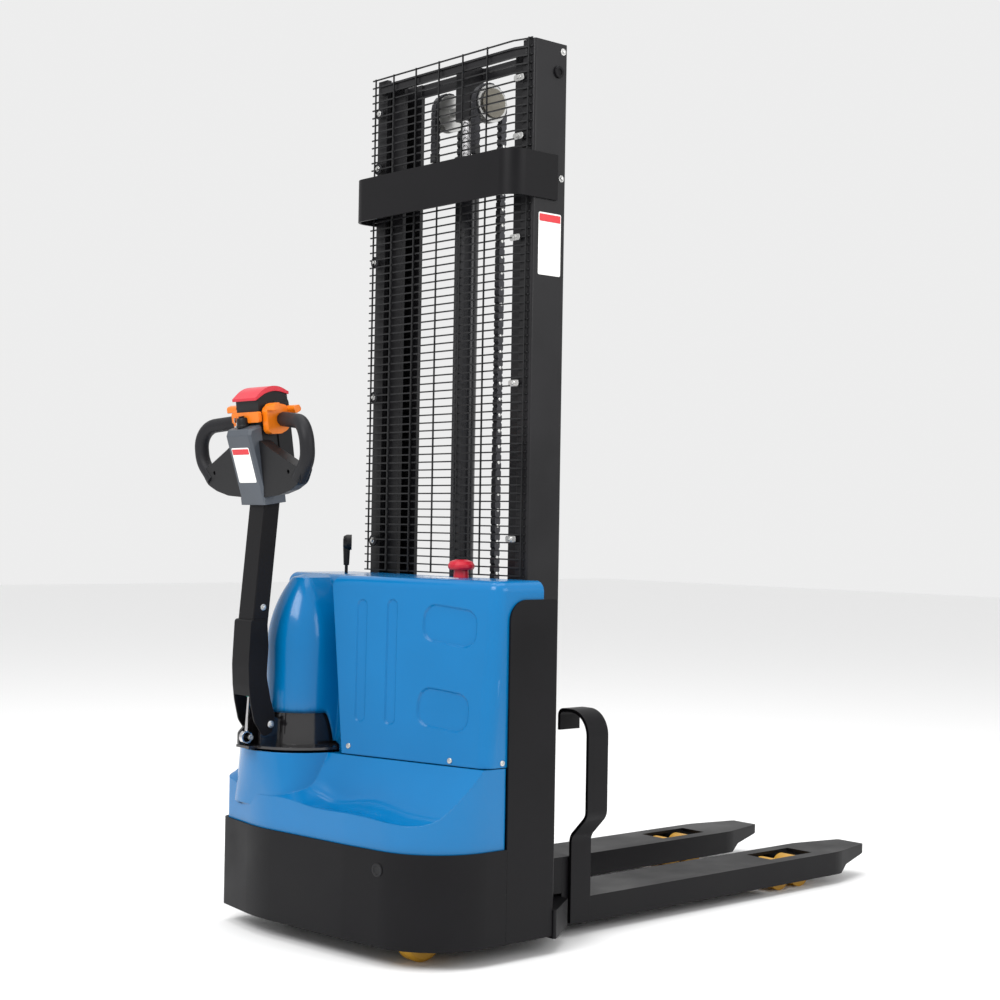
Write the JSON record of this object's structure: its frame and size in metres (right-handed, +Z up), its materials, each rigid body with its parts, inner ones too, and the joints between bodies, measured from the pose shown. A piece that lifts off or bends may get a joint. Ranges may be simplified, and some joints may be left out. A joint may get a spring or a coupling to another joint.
{
  "type": "electric stacker",
  "caption": "Pedestrian electric stacker: offset tiller over a steered drive wheel, two-stage mast with chain lift, fork carriage over support legs.",
  "frame": {"origin": "bottom centre of the whole machine's box, on the floor", "axes": "+Z up, +X towards the fork tips, +Y to the tiller's side"},
  "size_m": [1.814, 0.8297, 2.083],
  "materials": {
    "black_steel": "semi-gloss powder coat",
    "mast_steel": "semi-gloss paint",
    "blue_hood": "gloss moulded plastic",
    "gloss_black": "gloss",
    "matte_black": "satin textured",
    "grey_plastic": "satin",
    "orange_plastic": "satin",
    "red_plastic": "satin",
    "wire": "painted wire",
    "cylinder_black": "gloss paint",
    "chrome_rod": "ground and chromed",
    "chain_steel": "oiled steel",
    "pulley_steel": "turned steel",
    "poly_wheel": "polyurethane tread",
    "drive_tread": "polyurethane tread",
    "zinc": "zinc plated",
    "battery_case": "moulded case"
  },
  "bodies": {
    "chassis": {"side_panels": "black_steel", "skirt": "black_steel", "chassis_frame": "black_steel", "hood_lower": "blue_hood", "hood_upper": "blue_hood", "battery": "battery_case", "mast_outer_left": "mast_steel", "mast_outer_right": "mast_steel", "mast_outer_beams": "mast_steel", "name_band": "black_steel", "mesh_guard": "wire", "lift_cylinder": "cylinder_black", "chain_anchor_falls": "chain_steel", "leg_base": "black_steel", "leg_left": "black_steel", "leg_right": "black_steel", "emergency_stop": "red_plastic", "charger_plug": "matte_black"},
    "steering_head": {"drive_unit": "black_steel", "steer_drum": "gloss_black"},
    "drive_wheel": {"drive_wheel": "drive_tread"},
    "tiller": {"tiller_housing": "black_steel", "tiller_arm": "black_steel", "tiller_head": "matte_black", "tiller_grips": "matte_black", "throttle": "orange_plastic", "belly_button": "red_plastic", "control_box": "grey_plastic", "gas_spring_tube": "zinc"},
    "gas_spring_rod": {"gas_spring_rod": "chrome_rod"},
    "caster": {"caster_fork": "zinc"},
    "caster_wheel": {"caster_wheel": "poly_wheel"},
    "inner_mast": {"mast_inner_left": "mast_steel", "mast_inner_right": "mast_steel", "mast_inner_ties": "mast_steel", "lift_rod": "chrome_rod", "chain_wraps": "chain_steel", "chain_carriage_falls": "chain_steel"},
    "chain_pulleys": {"chain_pulleys": "pulley_steel"},
    "fork_carriage": {"fork_carriage": "black_steel", "fork_left": "black_steel", "fork_right": "black_steel", "side_guards": "black_steel"},
    "load_roller_front_left": {"load_roller_front_left": "poly_wheel"},
    "load_roller_rear_left": {"load_roller_rear_left": "poly_wheel"},
    "load_roller_front_right": {"load_roller_front_right": "poly_wheel"},
    "load_roller_rear_right": {"load_roller_rear_right": "poly_wheel"}
  },
  "joints": [
    {"name": "steer", "type": "hinge", "parent": "chassis", "child": "steering_head", "pos_m": [-0.70713, 0.17716, 0.434], "axis": [0, 0, 1], "range_deg": [-70, 70]},
    {"name": "drive_wheel_turn", "type": "hinge", "parent": "steering_head", "child": "drive_wheel", "pos_m": [-0.70713, 0.17716, 0.1], "axis": [0, 1, 0], "continuous": true},
    {"name": "tiller_pitch", "type": "hinge", "parent": "steering_head", "child": "tiller", "pos_m": [-0.82413, 0.17716, 0.489], "axis": [0, -1, 0], "range_deg": [0, 80], "stiffness_Nm_per_rad": 50, "springref_deg": -2.86},
    {"name": "gas_spring_stroke", "type": "slide", "parent": "tiller", "child": "gas_spring_rod", "axis": [0.0698, 0, 0.9976], "range_m": [0, 0.075]},
    {"name": "caster_swivel", "type": "hinge", "parent": "chassis", "child": "caster", "pos_m": [-0.65914, -0.26985, 0.14], "axis": [0, 0, 1], "continuous": true},
    {"name": "caster_wheel_turn", "type": "hinge", "parent": "caster", "child": "caster_wheel", "pos_m": [-0.69713, -0.26985, 0.06], "axis": [0, 1, 0], "continuous": true},
    {"name": "mast_lift", "type": "slide", "parent": "chassis", "child": "inner_mast", "axis": [0, 0, 1], "range_m": [0, 1.456], "deforming": ["chain_anchor_falls"]},
    {"name": "chain_pulley_turn", "type": "hinge", "parent": "inner_mast", "child": "chain_pulleys", "pos_m": [-0.39713, -0.03485, 1.972], "axis": [0, 1, 0], "continuous": true},
    {"name": "fork_lift", "type": "slide", "parent": "inner_mast", "child": "fork_carriage", "axis": [0, 0, 1], "range_m": [0, 1.456], "deforming": ["chain_carriage_falls"]},
    {"name": "load_roller_front_left_turn", "type": "hinge", "parent": "chassis", "child": "load_roller_front_left", "pos_m": [0.54287, 0.16015, 0.04], "axis": [0, 1, 0], "continuous": true},
    {"name": "load_roller_rear_left_turn", "type": "hinge", "parent": "chassis", "child": "load_roller_rear_left", "pos_m": [0.62687, 0.16015, 0.04], "axis": [0, 1, 0], "continuous": true},
    {"name": "load_roller_front_right_turn", "type": "hinge", "parent": "chassis", "child": "load_roller_front_right", "pos_m": [0.54287, -0.22984, 0.04], "axis": [0, 1, 0], "continuous": true},
    {"name": "load_roller_rear_right_turn", "type": "hinge", "parent": "chassis", "child": "load_roller_rear_right", "pos_m": [0.62687, -0.22984, 0.04], "axis": [0, 1, 0], "continuous": true}
  ],
  "couplings": [
    {"joint": "fork_lift", "follows": "mast_lift", "ratio": 1},
    {"joint": "chain_pulley_turn", "follows": "mast_lift", "rad_per_m": 23.809},
    {"joint": "gas_spring_stroke", "follows": "tiller_pitch", "m_per_rad": 0.04333}
  ]
}
